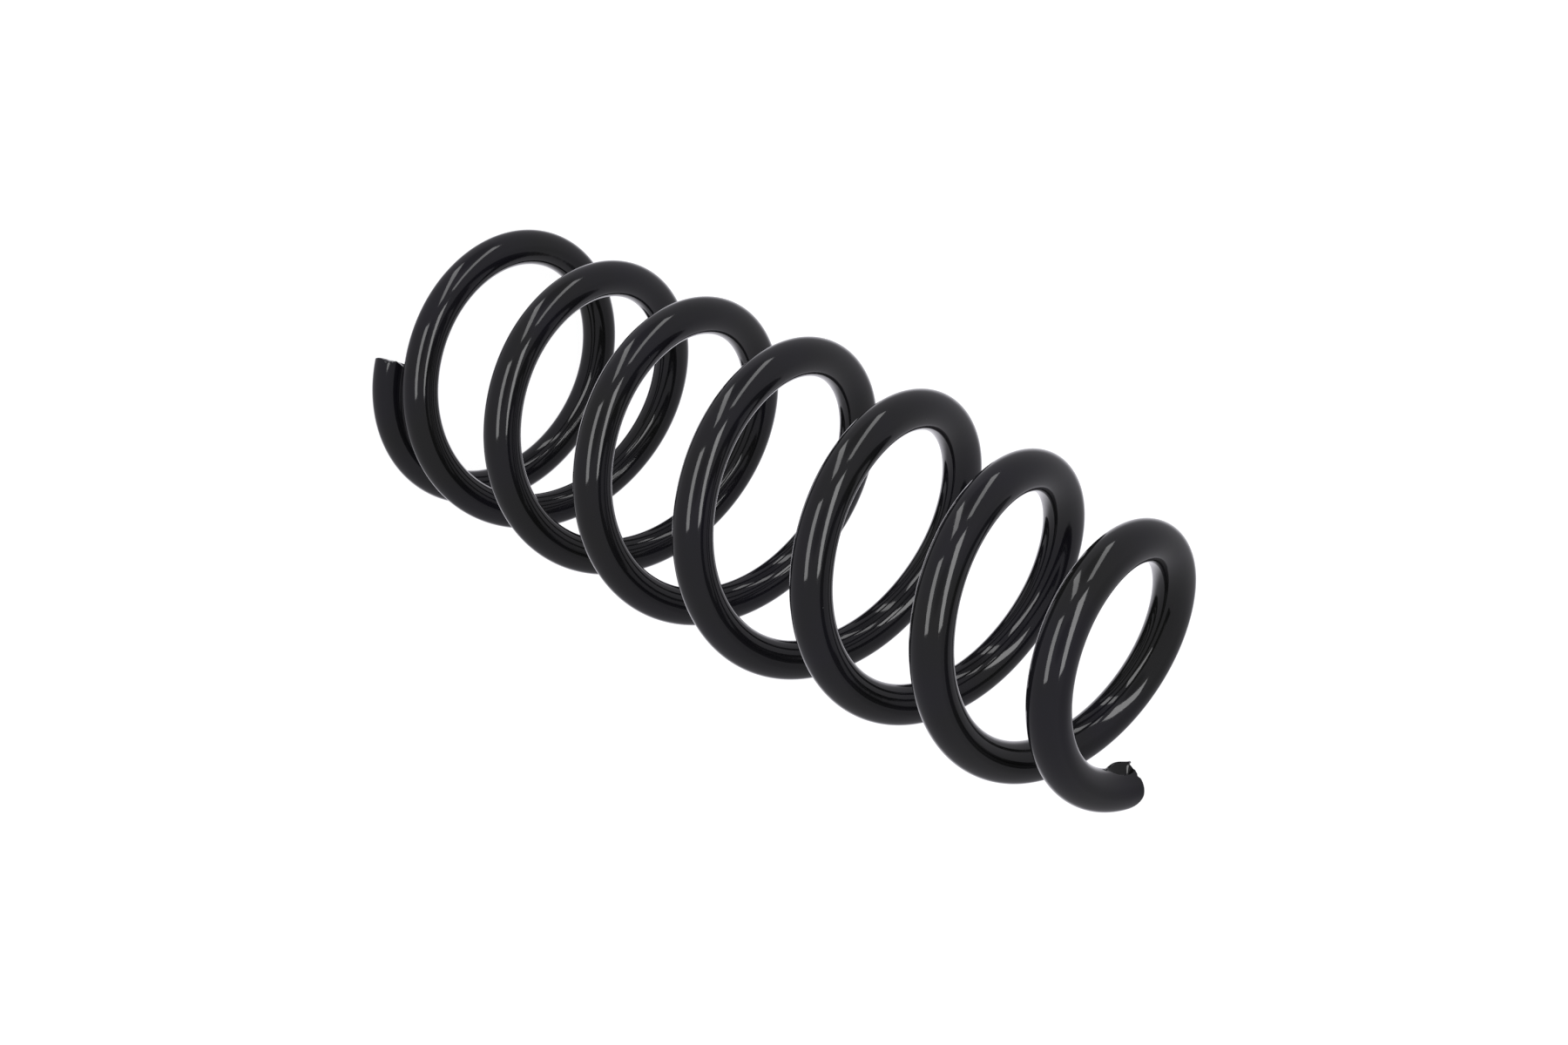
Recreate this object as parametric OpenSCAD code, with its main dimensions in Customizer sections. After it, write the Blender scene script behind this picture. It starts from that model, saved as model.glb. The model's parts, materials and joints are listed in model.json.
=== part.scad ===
// Automotive suspension coil spring, right-hand wound from one round steel bar.
// The lower end coil is full size, and its first stretch lies flat on the lower seat.
// The upper end coil is pulled in to a smaller diameter, for a narrower upper seat.
// The bar is divided into short arcs that meet face to face, square to the bar. Each arc
// is turned on the one below it about the bar's own centre line: more turn makes the coil
// climb more, and the bar twists back in the same way when the spring is compressed.

/* [Bar] */
// Diameter of the bar over its powder coat
bar_d = 13.5; // [12:0.5:14]
// Slant of the sheared bar ends from square, in degrees
shear_slant = 16; // [8:1:20]

/* [Coils] */
// Radius of the full-size coils, from the spring's axis to the middle of the bar
coil_r = 51; // [48:1:58]
// Turns that the bar makes from end to end
turns = 7.27; // [7:0.01:7.4]
// Rise of the body coils in each turn
body_pitch = 50.5; // [46:0.5:54]

/* [End coils] */
// Turns of the lower end that lie flat
flat_turns = 0.13; // [0.1:0.01:0.2]
// Climb at the upper end of the bar, as a share of the body's climb
end_climb = 0.55; // [0.5:0.01:0.7]
// Turns at the upper end over which the climb falls off
end_turns = 1.35; // [1:0.05:1.5]

/* [Hidden] */
arcs = 58;
arcs_per_coil = 8;
full_circle = 360;
// Turns over which the lower end rises from flat to the body's climb. One whole turn
// keeps the body coils square to the seat.
rise_turns = 1;
// Bends of the bar at the upper end: turns below the end, radius as a share of coil_r
bends = [
    [0, 0.77], [0.75, 0.73], [1, 0.95], [1.5, 0.82], [2, 0.91], [2.5, 0.93], [3, 0.99], [4, 1]
];
// Bar beyond the first and the last arc's own span, to the middle of the sheared face
lower_reach = 6;
upper_reach = 2;
// Side of the bar that each shear leaves longest, in degrees from the outer side of the
// coil towards the next coil up
lower_long_side = 45;
upper_long_side = 110;
// Clearance between an arc and the next, so that each can turn on the other
arc_gap = 0.005;
steel = "#232427";
$fn = 48;

bar_r = bar_d / 2;
arc_turns = turns / arcs;
helix_angle = asin(body_pitch / (PI * coil_r)) / 2;
// A climbing arc bends a little less than its share of the turns
arc_angle = full_circle * arc_turns * cos(helix_angle);

// Climb at a place above the lower end of the bar, as a share of the body's climb
function clamped(x) = min(1, max(0, x));
function climb(above) =
    clamped((above - flat_turns) / rise_turns)
        * (end_climb + (1 - end_climb) * clamped((turns - above) / end_turns));

// Turn of each arc on the arc below it, about the bar's centre line
twists = [for (i = [0 : arcs - 1]) arc_angle * tan(helix_angle) * climb(i * arc_turns)];

// Radius of the bend in each arc, in the arc's own slanted plane
bend_r = [
    for (i = [0 : arcs - 1])
        let (above = (i + 0.5) * arc_turns)
        let (slope = tan(helix_angle) * climb(above))
        coil_r * lookup(turns - above, bends) * (1 + slope * slope)
];

function moved(x, z) = [[1, 0, 0, x], [0, 1, 0, 0], [0, 0, 1, z], [0, 0, 0, 1]];
function about_y(a) =
    [[cos(a), 0, sin(a), 0], [0, 1, 0, 0], [-sin(a), 0, cos(a), 0], [0, 0, 0, 1]];
function about_z(a) =
    [[cos(a), -sin(a), 0, 0], [sin(a), cos(a), 0, 0], [0, 0, 1, 0], [0, 0, 0, 1]];

// Frame of the arc above arc i, with its origin at the middle of the bend
function frame_above(frame, i) =
    frame * about_z(arc_angle) * moved(bend_r[i], 0)
        * about_y(twists[i + 1]) * moved(-bend_r[i + 1], 0);

frames = [
    for (i = 0, f = moved(0, bar_r); i < arcs; f = i < arcs - 1 ? frame_above(f, i) : f, i = i + 1) f
];

function arc_name(i) =
    i == 0 ? "lower_end"
    : i == arcs - 1 ? "upper_end"
    : str("coil", floor(i / arcs_per_coil) + 1, "_arc", i % arcs_per_coil + 1);

// Angle of an arc's bend that a length of bar takes up
function bend_angle(i, length) = length / bend_r[i] * full_circle / (2 * PI);

// Round bar bent to arc i, starting on the X axis of the arc's frame, with length added
// below and above the arc's own span
module bent_bar(i, below = 0, above = -arc_gap) {
    low = bend_angle(i, below);
    rotate([0, 0, -low]) rotate_extrude(angle = low + arc_angle + bend_angle(i, above))
        translate([bend_r[i], 0]) circle(d = bar_d);
}

// Waste that the shears take off a bar which runs along +Y through the origin, with the
// middle of its sheared face at -reach
module shear_waste(reach, long_side) {
    waste = 4 * bar_d;
    translate([0, -reach, 0]) rotate([0, -long_side, 0]) rotate([0, 0, -shear_slant])
        translate([-waste / 2, -waste, -waste / 2]) cube(waste);
}

module lower_end() {
    color(steel) multmatrix(frames[0]) difference() {
        bent_bar(0, below = lower_reach + bar_d);
        translate([bend_r[0], 0, 0]) shear_waste(lower_reach, lower_long_side);
    }
}

module coil_arc(i) {
    color(steel) multmatrix(frames[i]) bent_bar(i);
}

module upper_end() {
    last = arcs - 1;
    color(steel) multmatrix(frames[last]) difference() {
        bent_bar(last, above = upper_reach + bar_d);
        rotate([0, 0, arc_angle]) translate([bend_r[last], 0, 0]) mirror([0, 1, 0])
            shear_waste(upper_reach, upper_long_side);
    }
}

lower_end();
for (i = [1 : arcs - 2]) coil_arc(i);
upper_end();
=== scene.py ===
"""Coil spring of a car's suspension, in gloss black powder coat, seen from its smaller end."""

import json
import math

import bpy
import numpy as np
from mathutils import Matrix, Vector, noise


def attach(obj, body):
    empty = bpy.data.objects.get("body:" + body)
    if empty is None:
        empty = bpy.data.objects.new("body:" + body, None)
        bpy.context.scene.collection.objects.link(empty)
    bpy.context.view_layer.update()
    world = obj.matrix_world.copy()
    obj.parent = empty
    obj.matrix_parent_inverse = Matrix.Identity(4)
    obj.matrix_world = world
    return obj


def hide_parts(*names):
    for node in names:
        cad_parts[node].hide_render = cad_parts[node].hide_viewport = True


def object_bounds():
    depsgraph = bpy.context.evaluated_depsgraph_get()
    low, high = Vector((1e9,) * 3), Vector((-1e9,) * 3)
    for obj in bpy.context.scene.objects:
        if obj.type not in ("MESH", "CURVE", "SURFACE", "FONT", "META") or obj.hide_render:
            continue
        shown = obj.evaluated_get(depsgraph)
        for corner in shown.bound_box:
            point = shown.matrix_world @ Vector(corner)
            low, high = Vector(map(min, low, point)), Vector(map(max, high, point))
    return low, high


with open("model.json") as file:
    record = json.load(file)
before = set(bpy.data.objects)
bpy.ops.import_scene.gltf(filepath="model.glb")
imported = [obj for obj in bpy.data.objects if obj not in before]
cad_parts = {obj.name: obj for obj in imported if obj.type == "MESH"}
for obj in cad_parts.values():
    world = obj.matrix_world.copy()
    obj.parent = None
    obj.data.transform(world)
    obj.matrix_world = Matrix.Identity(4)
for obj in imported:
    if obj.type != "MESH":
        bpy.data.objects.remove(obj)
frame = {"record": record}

CAD_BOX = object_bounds()
MIDDLE = (CAD_BOX[0] + CAD_BOX[1]) / 2

# The spring's driving dimensions, in metres and turns, as the CAD model has them
BAR_R = 0.00675
COIL_R = 0.051
TURNS = 7.27
BODY_PITCH = 0.0505
FLAT_TURNS = 0.13
RISE_TURNS = 1.0
END_CLIMB = 0.55
END_TURNS = 1.35
ARCS = 58
ARCS_PER_COIL = 8
# Bends of the bar at the upper end: turns below the end, radius as a share of COIL_R
BENDS = ((0, 0.77), (0.75, 0.73), (1, 0.95), (1.5, 0.82), (2, 0.91), (2.5, 0.93), (3, 0.99), (4, 1))

ARC_TURNS = TURNS / ARCS
HELIX_ANGLE = math.asin(BODY_PITCH / (math.pi * COIL_R)) / 2
ARC_ANGLE = math.tau * ARC_TURNS * math.cos(HELIX_ANGLE)

# The sheared ends: bar beyond the first and the last arc's own span, slant from square, and
# the side that is left longest, as an angle from the outer side of the coil upwards
LOWER_REACH = 0.006
UPPER_REACH = 0.002
SHEAR_SLANT = math.radians(16)
LOWER_LONG_SIDE = 45
UPPER_LONG_SIDE = 110

# Torn rim of each sheared face: side of the bar and half-width in degrees, length in metres
LOWER_TEARS = ((45, 110, -0.0009), (0, 26, 0.0002), (33, 10, -0.0004), (64, 14, 0.0006),
               (100, 26, -0.0010), (205, 30, -0.0007), (250, 16, 0.0004), (300, 24, -0.0006))
UPPER_TEARS = ((10, 80, -0.0031), (143, 9, -0.0006), (190, 44, 0.0028), (212, 24, 0.0050),
               (250, 20, -0.0006), (300, 26, 0.0005))
RIM_ROUNDING = 0.0005
# Bite torn out of the inner side of the upper end: side of the bar and half-width in
# degrees, then place and half-length along the bar
BITE = (180, 27, -0.0019, 0.0078)
BITE_DEPTH = 0.0028
# Share of the bite that is taken up by its sloping sides
BITE_SLOPE = 0.45
# Lip pushed up beside the bite: side and half-width, then its highest place along the bar
# and how far it runs before and after that
LIP = (214, 36, 0.0014, 0.0064, 0.0082)
LIP_HEIGHT = 0.0013
# How sharply the broken face rises to its torn rim
FACE_HOLLOW = 4
# Coarse and fine lumps of the broken face, as height and lumps in a metre. They fade out
# over the outer sixth of the face.
LUMPS = ((0.0003, 360), (0.00012, 950))
LUMPS_FADE = 1 / 6

# Mesh density: rings along an arc and points round the bar, then points round a sheared
# end, the gap between its rings over its torn length, the rings of its broken face, and the
# radius of the smallest of those as a share of the rim's
RINGS = 25
ROUND = 72
END_ROUND = 240
END_RING_GAP = 0.00022
TORN_LENGTH = 0.013
FACE_RINGS = 32
FACE_MIDDLE = 0.02
# Step along the bar over which a slope is measured
SLOPE_STEP = 1e-5

# Powder coat: its two near-black tints, and the noise levels at which each is pure
NEUTRAL_BLACK = (0.0080, 0.0082, 0.0078, 1)
BLUE_BLACK = (0.0086, 0.0082, 0.0114, 1)
TINT_LEVELS = (0.38, 0.62)
ROUGHNESS = (0.055, 0.105)
COAT_IOR = 1.5
# Scale and detail of the noise in its tint, its haze, its waves and its orange peel
TINT_NOISE = (28.0, 2.0)
HAZE_NOISE = (160.0, 3.0)
WAVE_NOISE = (70.0, 1.0)
PEEL_NOISE = (420.0, 1.0)
WAVE_HEIGHT = 0.00006
PEEL_HEIGHT = 0.000012
# Dust nibs: colour, cells in a metre, and how far from its middle a nib fades in, in cells.
# Only cells with a random level above NIB_LEVEL have one, which is about one in sixteen.
NIB_COLOUR = (0.09, 0.09, 0.095, 1)
NIB_SCALE = 190.0
NIB_FADE = (0.05, 0.02)
NIB_LEVEL = 0.83

# Camera: place, aim and picture
CAMERA_PLACE = (0.487, -0.2205, 0.62265)
CAMERA_TURN = (-25.352, -41.312, -169.179)
CAMERA_LENS = 46.4
CAMERA_SHIFT = (105 / 1800, -55 / 1800)
CAMERA_NEAREST = 0.01

# Soft boxes: name, azimuth and elevation of each end as the camera sees them, distance,
# width, and how many times brighter than white paper
SOFT_BOXES = (
    ("left_box", (-32, 27), (-31, -20), 0.83, 0.22, 3.8),
    ("right_box", (20, 24), (31, -21), 0.75, 0.17, 4.6),
    ("left_overhead", (-14, 40), (-92, 65), 0.75, 0.11, 3.1),
    ("right_overhead", (20, 38), (82, 73), 0.75, 0.13, 2.9),
)

# Light from the studio's walls: its colour, its strength round the camera and behind the
# spring, and where the one fades into the other, as cosines of the angle from straight behind
STUDIO_COLOUR = (0.99, 0.975, 1.045, 1)
STUDIO_STRENGTHS = (0.365, 1.0)
STUDIO_FADE = (0.72, 0.96)
STRAIGHT_BEHIND = (180, 0)
# Darker parts of the studio: azimuth and elevation as the camera sees them, half-widths of
# the dark middle and of the whole patch, in degrees, and the share of light left
DARK_PATCHES = ((-4, 5, 6, 20, 0.6), (75, -18, 10, 36, 0.8), (0, 76, 8, 26, 0.6))

WHITE = (1, 1, 1, 1)
FLOOR_RADIUS = 6
FLOOR_SIDES = 96
FLOOR_HEIGHT = -0.0002
FLOOR_COLOUR = (0.25, 0.25, 0.25, 1)
FLOOR_GLOW = 0.95


# --- Shape of the bar ---------------------------------------------------------------------

def climb(above):
    """Climb of the bar at a place above its lower end, as a share of the body's climb."""
    rise = min(1, max(0, (above - FLAT_TURNS) / RISE_TURNS))
    fall = min(1, max(0, (TURNS - above) / END_TURNS))
    return rise * (END_CLIMB + (1 - END_CLIMB) * fall)


def bend_radius(arc):
    """Radius of an arc's bend, in its own slanted plane."""
    above = (arc + 0.5) * ARC_TURNS
    slope = math.tan(HELIX_ANGLE) * climb(above)
    below, share = zip(*BENDS)
    return COIL_R * float(np.interp(TURNS - above, below, share)) * (1 + slope * slope)


def arc_frames():
    """Frame of each arc, from the lower end up, with its origin at the middle of the bend."""
    frames = [Matrix.Translation((0, 0, BAR_R))]
    for arc in range(1, ARCS):
        twist = ARC_ANGLE * math.tan(HELIX_ANGLE) * climb(arc * ARC_TURNS)
        frames.append(
            frames[-1]
            @ Matrix.Rotation(ARC_ANGLE, 4, "Z")
            @ Matrix.Translation((bend_radius(arc - 1), 0, 0))
            @ Matrix.Rotation(twist, 4, "Y")
            @ Matrix.Translation((-bend_radius(arc), 0, 0))
        )
    return frames


def arc_name(arc):
    if arc == 0:
        return "lower_end"
    if arc == ARCS - 1:
        return "upper_end"
    return f"coil{arc // ARCS_PER_COIL + 1}_arc{arc % ARCS_PER_COIL + 1}"


def skin(radius, around, along, height):
    """Points of a bar bent to a radius. around is 0 on the outer side of the coil, along is
    the length from the arc's start, and height is above the bar's round surface."""
    turn = along / radius
    stand = BAR_R + height
    out = radius + stand * np.cos(around)
    return np.stack([out * np.cos(turn), out * np.sin(turn), stand * np.sin(around)], axis=-1)


def skin_normals(radius, around, along, height_at):
    """Outward normals of the skin, from its slopes round and along the bar."""
    spin = SLOPE_STEP / BAR_R
    up, down = along + SLOPE_STEP, along - SLOPE_STEP
    left, right = around + spin, around - spin
    slope_up = skin(radius, around, up, height_at(around, up)) - skin(
        radius, around, down, height_at(around, down)
    )
    slope_round = skin(radius, left, along, height_at(left, along)) - skin(
        radius, right, along, height_at(right, along)
    )
    normals = np.cross(slope_up, slope_round)
    return normals / np.linalg.norm(normals, axis=-1, keepdims=True)


def smooth_height(around, along):
    """Height of a plain bar's skin, which is 0 all over."""
    return np.zeros(np.broadcast(around, along).shape)


def bar_direction(turn):
    """Direction of the bar where its bend has gone through an angle."""
    return np.array([-math.sin(turn), math.cos(turn), 0])


def ring_faces(rings, count, first=0, flip=False):
    """Quads between rings of count points each, closed round the bar."""
    faces = []
    for ring in range(rings - 1):
        for k in range(count):
            a = first + ring * count + k
            b = first + ring * count + (k + 1) % count
            face = (a, a + count, b + count, b)
            faces.append(face[::-1] if flip else face)
    return faces


def ring_face(first, count, flip=False):
    """One face over a whole ring of count points."""
    face = tuple(range(first, first + count))
    return face[::-1] if flip else face


def new_piece(name, place, points, faces, normals):
    """Mesh object from points and normals in an arc's own frame."""
    place = np.array(place)
    points = points @ place[:3, :3].T + place[:3, 3]
    normals = normals @ place[:3, :3].T
    mesh = bpy.data.meshes.new(name)
    mesh.from_pydata(points.tolist(), [], faces)
    mesh.polygons.foreach_set("use_smooth", [True] * len(faces))
    mesh.update()
    mesh.normals_split_custom_set_from_vertices(normals.tolist())
    piece = bpy.data.objects.new(name, mesh)
    bpy.context.scene.collection.objects.link(piece)
    return piece


def coil_arc(arc, place):
    """A plain stretch of the bar, closed at both ends by a square cut."""
    radius = bend_radius(arc)
    around = np.linspace(0, math.tau, ROUND, endpoint=False)[None, :]
    along = np.linspace(0, ARC_ANGLE * radius, RINGS)[:, None]
    around, along = np.broadcast_arrays(around, along)
    points = skin(radius, around, along, 0).reshape(-1, 3)
    normals = skin_normals(radius, around, along, smooth_height).reshape(-1, 3)
    lower_cut = len(points)
    upper_cut = lower_cut + ROUND
    faces = ring_faces(RINGS, ROUND) + [ring_face(lower_cut, ROUND), ring_face(upper_cut, ROUND, flip=True)]
    points = np.concatenate([points, points[:ROUND], points[-ROUND:]])
    cut_normals = np.repeat([-bar_direction(0), bar_direction(ARC_ANGLE)], ROUND, axis=0)
    normals = np.concatenate([normals, cut_normals])
    return new_piece("bar_" + arc_name(arc), place, points, faces, normals)


# --- Sheared ends of the bar --------------------------------------------------------------

def smooth_bump(offset, half_width):
    """1 in the middle, falling smoothly to 0 at half_width on either side."""
    share = np.clip(np.abs(offset) / half_width, 0, 1)
    return (1 + np.cos(math.pi * share)) / 2


def round_bar(around, side):
    """Difference in degrees between places round the bar and a side of it."""
    return (np.degrees(around) - side + 180) % 360 - 180


def shear_slope(around, long_side):
    """How far the slanted shear runs past its middle at each place round the bar."""
    return BAR_R * math.tan(SHEAR_SLANT) * np.cos(around - math.radians(long_side))


def torn_rim(around, reach, long_side, tears):
    """How far the bar reaches past the arc's own span at each place round it."""
    length = reach + shear_slope(around, long_side)
    for side, half_width, extra in tears:
        length = length + extra * smooth_bump(round_bar(around, side), half_width)
    return length


def bitten_height(around, past_span):
    """Height of the upper end's skin: a bite out of its inner side, and a lip beside it."""
    side, half_side, place, half_length = BITE
    edge = np.hypot(round_bar(around, side) / half_side, (past_span - place) / half_length)
    bite = np.clip((1 - edge) / BITE_SLOPE, 0, 1)
    side, half_side, place, before, after = LIP
    offset = past_span - place
    lip = smooth_bump(round_bar(around, side), half_side)
    lip = lip * smooth_bump(offset, np.where(offset < 0, before, after))
    return LIP_HEIGHT * lip - BITE_DEPTH * bite * bite * (3 - 2 * bite)


def lump(point):
    """Height of the broken face's lumps at a point."""
    return sum(height * noise.noise(Vector(point) * scale) for height, scale in LUMPS)


def slope_normals(points, outward):
    """Normals of a grid of points, on the side of it that outward points to."""
    slope_in = np.gradient(points, axis=0)
    slope_round = (np.roll(points, -1, axis=1) - np.roll(points, 1, axis=1)) / 2
    normals = np.cross(slope_in, slope_round)
    tiny = 1e-12
    normals /= np.linalg.norm(normals, axis=-1, keepdims=True) + tiny
    return normals * np.sign((normals * outward).sum(-1, keepdims=True) + tiny)


def bar_end(arc, place, upper, reach, long_side, tears, height_at):
    """The first or last arc, out to its torn rim, with the broken face inside it. Lengths
    past the arc's own span count as positive for both ends."""
    radius = bend_radius(arc)
    span = ARC_ANGLE * radius
    around = np.linspace(0, math.tau, END_ROUND, endpoint=False)[None, :]
    rim = torn_rim(around, reach, long_side, tears)

    def along_bar(past_span):
        return span + past_span if upper else -past_span

    def height(turned, along):
        past_span = along - span if upper else -along
        left = np.clip(torn_rim(turned, reach, long_side, tears) - past_span, 0, RIM_ROUNDING)
        drop = RIM_ROUNDING - np.sqrt(RIM_ROUNDING**2 - (RIM_ROUNDING - left) ** 2)
        return height_at(turned, past_span) - drop

    # Round skin, in rings from the torn rim back to the square cut at the arc's inner end
    torn = np.arange(0, TORN_LENGTH, END_RING_GAP)
    plain = np.linspace(TORN_LENGTH, span + reach, RINGS)
    share = np.concatenate([torn, plain])[:, None] / (span + reach)
    around_skin, along = np.broadcast_arrays(around, along_bar(rim - share * (span + rim)))
    points = skin(radius, around_skin, along, height(around_skin, along))
    normals = skin_normals(radius, around_skin, along, height)
    normals[0] = normals[1]
    rings = len(points)
    cut_normal = -bar_direction(0) if upper else bar_direction(ARC_ANGLE)

    # Broken face, in rings from the rim in: the slant of the shear, torn only near its edge
    share = np.linspace(1, FACE_MIDDLE, FACE_RINGS)[:, None]
    slope = shear_slope(around, long_side)
    past_span = reach + slope * share + (rim - reach - slope) * share**FACE_HOLLOW
    around_face = np.broadcast_to(around, past_span.shape)
    stand = (BAR_R + height(around, along_bar(rim))) * share
    face_points = skin(radius, around_face, along_bar(past_span), stand - BAR_R)
    outward = bar_direction(along_bar(reach) / radius) * (1 if upper else -1)
    lumps = np.array([[lump(point) for point in ring] for ring in face_points])
    lumps = lumps * np.clip((1 - share) / LUMPS_FADE, 0, 1)
    face_points = face_points + outward * lumps[..., None]

    cut_start = rings * END_ROUND
    face_start = cut_start + END_ROUND
    face_middle = face_start + (FACE_RINGS - 1) * END_ROUND
    faces = (
        ring_faces(rings, END_ROUND, flip=upper)
        + [ring_face(cut_start, END_ROUND, flip=not upper)]
        + ring_faces(FACE_RINGS, END_ROUND, face_start, flip=not upper)
        + [ring_face(face_middle, END_ROUND, flip=upper)]
    )
    points = np.concatenate([points, points[-1:], face_points]).reshape(-1, 3)
    cut_normals = np.broadcast_to(cut_normal, (1, END_ROUND, 3))
    face_normals = slope_normals(face_points, outward)
    normals = np.concatenate([normals, cut_normals, face_normals]).reshape(-1, 3)
    return new_piece("bar_" + arc_name(arc), place, points, faces, normals)


def lower_end(place):
    return bar_end(0, place, False, LOWER_REACH, LOWER_LONG_SIDE, LOWER_TEARS, smooth_height)


def upper_end(place):
    return bar_end(ARCS - 1, place, True, UPPER_REACH, UPPER_LONG_SIDE, UPPER_TEARS, bitten_height)


# --- Shader nodes -------------------------------------------------------------------------

def feed(socket, value):
    """Set an input to a plain value, or link another node's output to it."""
    if isinstance(value, bpy.types.NodeSocket):
        socket.id_data.links.new(value, socket)
    else:
        socket.default_value = value


def node(tree, kind, **inputs):
    """New node with its inputs fed. An underscore stands for a space in an input's name."""
    made = tree.nodes.new(kind)
    for name, value in inputs.items():
        feed(made.inputs[name.replace("_", " ")], value)
    return made


def noise_level(tree, place, scale, detail):
    return node(tree, "ShaderNodeTexNoise", Vector=place, Scale=scale, Detail=detail).outputs["Fac"]


def map_range(tree, value, source, target, smooth=False):
    """Runs from target[0] to target[1] as value runs from source[0] to source[1]."""
    made = node(tree, "ShaderNodeMapRange", Value=value)
    if smooth:
        made.interpolation_type = "SMOOTHSTEP"
    for name, limit in zip(("From Min", "From Max", "To Min", "To Max"), (*source, *target)):
        made.inputs[name].default_value = limit
    return made.outputs["Result"]


def maths(tree, operation, first, second):
    made = tree.nodes.new("ShaderNodeMath")
    made.operation = operation
    feed(made.inputs[0], first)
    feed(made.inputs[1], second)
    return made.outputs["Value"]


def mix(tree, kind, factor, first, second):
    """Goes from first to second as factor goes from 0 to 1. kind is FLOAT or RGBA."""
    made = tree.nodes.new("ShaderNodeMix")
    made.data_type = kind
    feed(made.inputs["Factor"], factor)
    feed(made.inputs["A"], first)
    feed(made.inputs["B"], second)
    return made.outputs["Result"]


def new_material(name):
    """Material with only its Principled shader, which is returned with it."""
    material = bpy.data.materials.new(name)
    material.use_nodes = True
    return material, material.node_tree.nodes["Principled BSDF"]


# --- Powder coat --------------------------------------------------------------------------

def drifting_black(tree, place):
    """Near black, drifting slowly between neutral and blue."""
    ramp = tree.nodes.new("ShaderNodeValToRGB")
    for stop, level, colour in zip(ramp.color_ramp.elements, TINT_LEVELS, (NEUTRAL_BLACK, BLUE_BLACK)):
        stop.position = level
        stop.color = colour
    feed(ramp.inputs["Fac"], noise_level(tree, place, *TINT_NOISE))
    return ramp.outputs["Color"]


def dust_nibs(tree, place):
    """1 on a few small specks and 0 between them."""
    cells = node(tree, "ShaderNodeTexVoronoi", Vector=place, Scale=NIB_SCALE)
    speck = map_range(tree, cells.outputs["Distance"], NIB_FADE, (0, 1))
    chosen = maths(tree, "GREATER_THAN", cells.outputs["Color"], NIB_LEVEL)
    return maths(tree, "MULTIPLY", speck, chosen)


def wavy_skin(tree, place):
    """Orange peel, on top of slow waves in the wound bar."""
    waves = noise_level(tree, place, *WAVE_NOISE)
    peel = noise_level(tree, place, *PEEL_NOISE)
    waved = node(tree, "ShaderNodeBump", Strength=1.0, Distance=WAVE_HEIGHT, Height=waves)
    peeled = node(tree, "ShaderNodeBump", Strength=1.0, Distance=PEEL_HEIGHT, Height=peel)
    feed(peeled.inputs["Normal"], waved.outputs["Normal"])
    return peeled.outputs["Normal"]


def powder_coat():
    material, shader = new_material("powder_coat")
    tree = material.node_tree
    place = tree.nodes.new("ShaderNodeTexCoord").outputs["Object"]
    black = drifting_black(tree, place)
    feed(shader.inputs["Base Color"], mix(tree, "RGBA", dust_nibs(tree, place), black, NIB_COLOUR))
    haze = noise_level(tree, place, *HAZE_NOISE)
    feed(shader.inputs["Roughness"], map_range(tree, haze, (0, 1), ROUGHNESS))
    feed(shader.inputs["Normal"], wavy_skin(tree, place))
    shader.inputs["IOR"].default_value = COAT_IOR
    return material


# --- Studio -------------------------------------------------------------------------------

def make_camera():
    data = bpy.data.cameras.new("camera")
    data.lens = CAMERA_LENS
    data.shift_x, data.shift_y = CAMERA_SHIFT
    data.clip_start = CAMERA_NEAREST
    camera = bpy.data.objects.new("camera", data)
    camera.location = CAMERA_PLACE
    camera.rotation_euler = [math.radians(a) for a in CAMERA_TURN]
    bpy.context.scene.collection.objects.link(camera)
    bpy.context.scene.camera = camera
    return camera


def from_camera(turn, azimuth, elevation):
    """Direction from the spring, in degrees as the camera sees it: azimuth 0 is back towards
    the camera and 90 to its right, and elevation 90 is straight up in the picture."""
    a, e = math.radians(azimuth), math.radians(elevation)
    return turn @ Vector((math.sin(a) * math.cos(e), math.sin(e), math.cos(a) * math.cos(e)))


def soft_box(name, turn, top, bottom, distance, width, brightness):
    """Soft box whose long side runs between two directions, top and bottom, and which faces
    the spring. brightness is how many times brighter than white paper it is."""
    high = MIDDLE + distance * from_camera(turn, *top)
    low = MIDDLE + distance * from_camera(turn, *bottom)
    centre = (high + low) / 2
    long_side = (high - low).normalized()
    outward = (centre - MIDDLE).normalized()
    short_side = long_side.cross(outward).normalized()
    facing = short_side.cross(long_side)
    data = bpy.data.lights.new(name, "AREA")
    data.shape = "RECTANGLE"
    data.size = width
    data.size_y = (high - low).length
    data.energy = brightness * math.pi * data.size * data.size_y
    lamp = bpy.data.objects.new(name, data)
    turned = Matrix((short_side, long_side, facing)).transposed().to_4x4()
    lamp.matrix_world = Matrix.Translation(centre) @ turned
    lamp.visible_camera = False
    bpy.context.scene.collection.objects.link(lamp)


def nearness(tree, direction, middle):
    """Cosine of the angle between a direction and the middle one."""
    dot = tree.nodes.new("ShaderNodeVectorMath")
    dot.operation = "DOT_PRODUCT"
    feed(dot.inputs[0], direction)
    feed(dot.inputs[1], middle)
    return dot.outputs["Value"]


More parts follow.
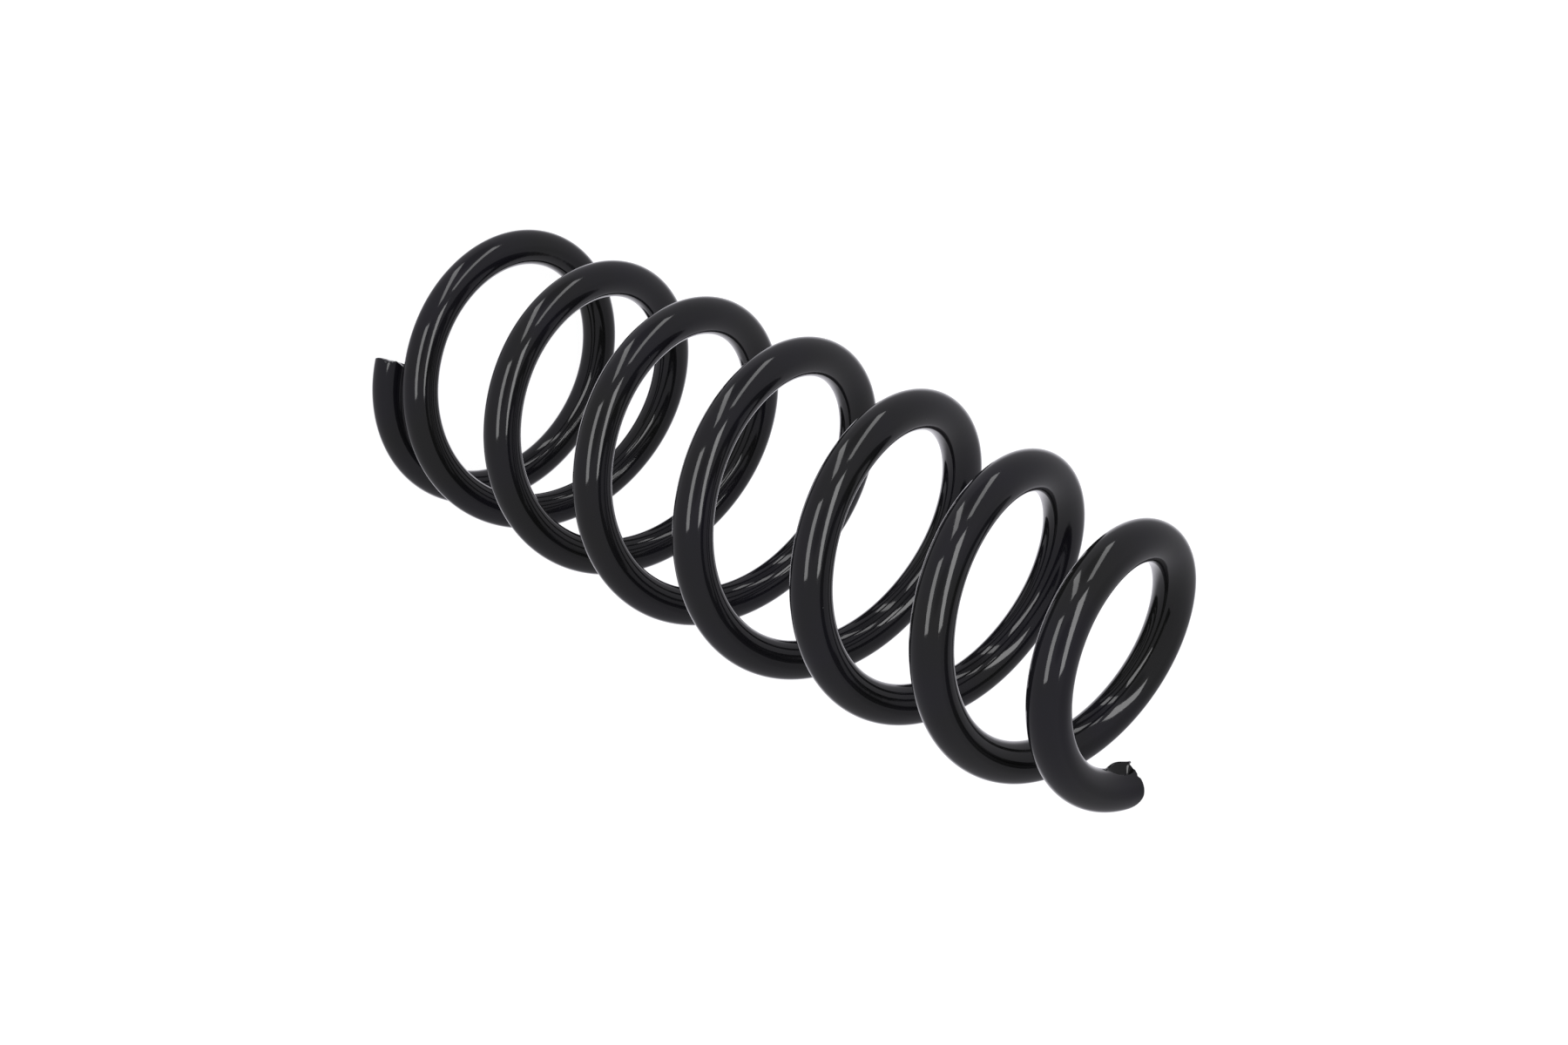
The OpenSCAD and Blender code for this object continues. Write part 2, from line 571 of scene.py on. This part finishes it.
def make_world(turn):
    """Pale studio all round, darker where the camera stands. The white sweep behind the
    spring is brighter than the room in front of it, and the picture's own background is
    plain white."""
    world = bpy.data.worlds.new("studio")
    bpy.context.scene.world = world
    world.use_nodes = True
    tree = world.node_tree
    direction = tree.nodes.new("ShaderNodeTexCoord").outputs["Generated"]
    behind = nearness(tree, direction, from_camera(turn, *STRAIGHT_BEHIND))
    strength = map_range(tree, behind, STUDIO_FADE, STUDIO_STRENGTHS, smooth=True)
    for azimuth, elevation, inner, outer, share_left in DARK_PATCHES:
        near = nearness(tree, direction, from_camera(turn, azimuth, elevation))
        edges = (math.cos(math.radians(outer)), math.cos(math.radians(inner)))
        patch = map_range(tree, near, edges, (1, share_left), smooth=True)
        strength = maths(tree, "MULTIPLY", strength, patch)
    in_picture = tree.nodes.new("ShaderNodeLightPath").outputs["Is Camera Ray"]
    background = tree.nodes["Background"]
    feed(background.inputs["Color"], mix(tree, "RGBA", in_picture, STUDIO_COLOUR, WHITE))
    feed(background.inputs["Strength"], mix(tree, "FLOAT", in_picture, strength, 1.0))


def make_floor():
    """White floor, which lights itself so that it stays pale in the picture."""
    bpy.ops.mesh.primitive_circle_add(
        vertices=FLOOR_SIDES, radius=FLOOR_RADIUS, fill_type="NGON", location=(0, 0, FLOOR_HEIGHT)
    )
    floor = bpy.context.object
    floor.name = "floor"
    material, shader = new_material("floor")
    shader.inputs["Base Color"].default_value = FLOOR_COLOUR
    shader.inputs["Roughness"].default_value = 1.0
    shader.inputs["Emission Color"].default_value = WHITE
    shader.inputs["Emission Strength"].default_value = FLOOR_GLOW
    floor.data.materials.append(material)
    floor.visible_glossy = False
    floor.visible_shadow = False
    floor.visible_diffuse = False


# --- The scene ----------------------------------------------------------------------------

def body_of(name):
    bodies = frame["record"]["behaviour"]["bodies"]
    return next(body for body, nodes in bodies.items() if name in nodes)


def make_spring():
    coat = powder_coat()
    for arc, place in enumerate(arc_frames()):
        if arc == 0:
            piece = lower_end(place)
        elif arc == ARCS - 1:
            piece = upper_end(place)
        else:
            piece = coil_arc(arc, place)
        piece.data.materials.append(coat)
        name = arc_name(arc)
        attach(piece, body_of(name))
        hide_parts(name)


camera = make_camera()
bpy.context.view_layer.update()
camera_turn = camera.matrix_world.to_3x3()
for name, *lighting in SOFT_BOXES:
    soft_box(name, camera_turn, *lighting)
make_world(camera_turn)
make_floor()
make_spring()
bpy.context.scene.view_settings.view_transform = "Standard"
